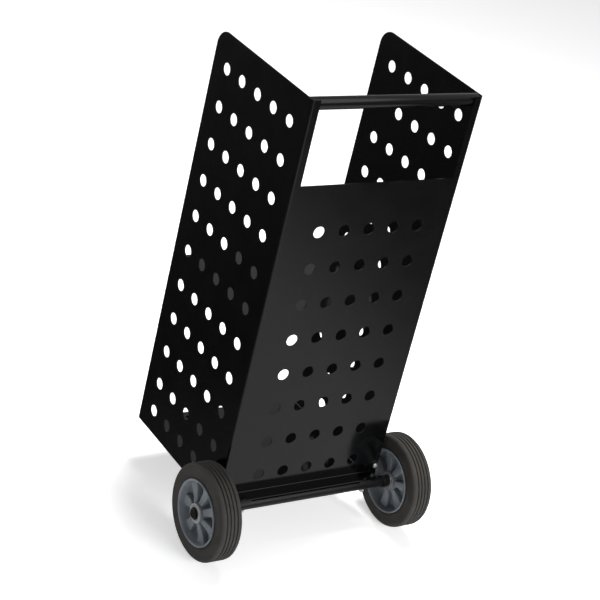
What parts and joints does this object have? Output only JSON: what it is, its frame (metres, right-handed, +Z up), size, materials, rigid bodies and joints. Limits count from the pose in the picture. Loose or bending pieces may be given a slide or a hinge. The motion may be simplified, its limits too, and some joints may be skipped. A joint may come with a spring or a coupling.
{
  "type": "log cart",
  "caption": "Upright open-fronted log cart of perforated black sheet steel, with a middle shelf, a tube handle and two spoked wheels with ribbed rubber tyres on a rear axle.",
  "frame": {"origin": "on the ground, under the middle of the cart's outline, with the cart standing upright on its wheels and front foot", "axes": "+Z up, +Y from the open front towards the handle and axle, +X towards the left wheel of a person at the handle"},
  "size_m": [0.532, 0.464, 0.9795],
  "materials": {
    "black_powder_coat": "satin black powder coat, fine texture",
    "tyre_rubber": "matte black moulded rubber",
    "grey_hub_plastic": "blue-grey moulded polypropylene, satin",
    "bright_zinc": "bright zinc plate",
    "bearing_steel": "ground bearing steel with a black seal",
    "black_axle_steel": "gloss black paint",
    "black_screw_steel": "black oxide",
    "pad_rubber": "matte black rubber"
  },
  "bodies": {
    "cart_body": {"left_side_panel": "black_powder_coat", "right_side_panel": "black_powder_coat", "back_panel": "black_powder_coat", "shelf": "black_powder_coat", "floor_tray": "black_powder_coat", "handle_tube": "black_powder_coat", "left_corner_plate": "black_powder_coat", "right_corner_plate": "black_powder_coat", "corner_rivets": "bright_zinc", "axle": "black_axle_steel", "left_axle_saddle": "black_axle_steel", "right_axle_saddle": "black_axle_steel", "axle_screws": "black_screw_steel", "axle_nuts": "bright_zinc", "front_foot": "black_powder_coat", "left_foot_pad": "pad_rubber", "right_foot_pad": "pad_rubber", "foot_screws": "black_screw_steel", "foot_nuts": "bright_zinc", "pad_screws": "bright_zinc", "left_spacer": "black_axle_steel", "left_washer": "bright_zinc", "left_retaining_ring": "black_screw_steel", "right_spacer": "black_axle_steel", "right_washer": "bright_zinc", "right_retaining_ring": "black_screw_steel"},
    "left_wheel": {"left_tyre": "tyre_rubber", "left_hub": "grey_hub_plastic", "left_inner_bearing": "bearing_steel", "left_outer_bearing": "bearing_steel"},
    "right_wheel": {"right_tyre": "tyre_rubber", "right_hub": "grey_hub_plastic", "right_inner_bearing": "bearing_steel", "right_outer_bearing": "bearing_steel"}
  },
  "joints": [
    {"name": "left_wheel_spin", "type": "hinge", "parent": "cart_body", "child": "left_wheel", "pos_m": [0.2335, 0.132, 0.1], "axis": [1, 0, 0], "continuous": true},
    {"name": "right_wheel_spin", "type": "hinge", "parent": "cart_body", "child": "right_wheel", "pos_m": [-0.2335, 0.132, 0.1], "axis": [1, 0, 0], "continuous": true}
  ]
}
